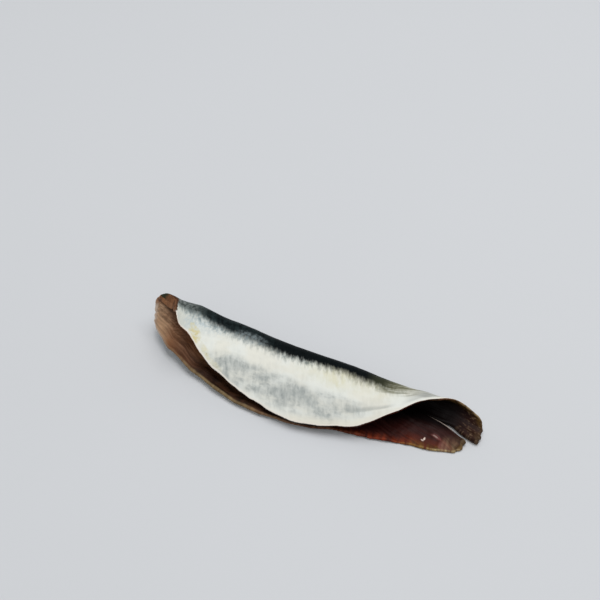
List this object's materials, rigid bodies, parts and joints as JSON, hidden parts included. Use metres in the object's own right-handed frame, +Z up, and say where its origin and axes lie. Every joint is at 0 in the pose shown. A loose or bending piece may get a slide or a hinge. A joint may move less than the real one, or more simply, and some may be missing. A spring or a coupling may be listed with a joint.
{
  "type": "smoked fish",
  "caption": "Small headless smoked fish, opened along the belly and folded along its back with the silver skin outside; it lies on one fillet with the tail end gaping.",
  "frame": {"origin": "centre of the bounding box in plan, at the height of the surface that the fish lies on", "axes": "+X from the head end to the tail end, -Y towards the open belly edges, +Y towards the folded back, +Z up"},
  "size_m": [0.123, 0.031, 0.0186],
  "materials": {
    "fish_skin": "oily silver skin with a blue-black back; the inside is matt brown flesh"
  },
  "bodies": {
    "root": {"smoked_fish": "fish_skin"}
  },
  "joints": []
}
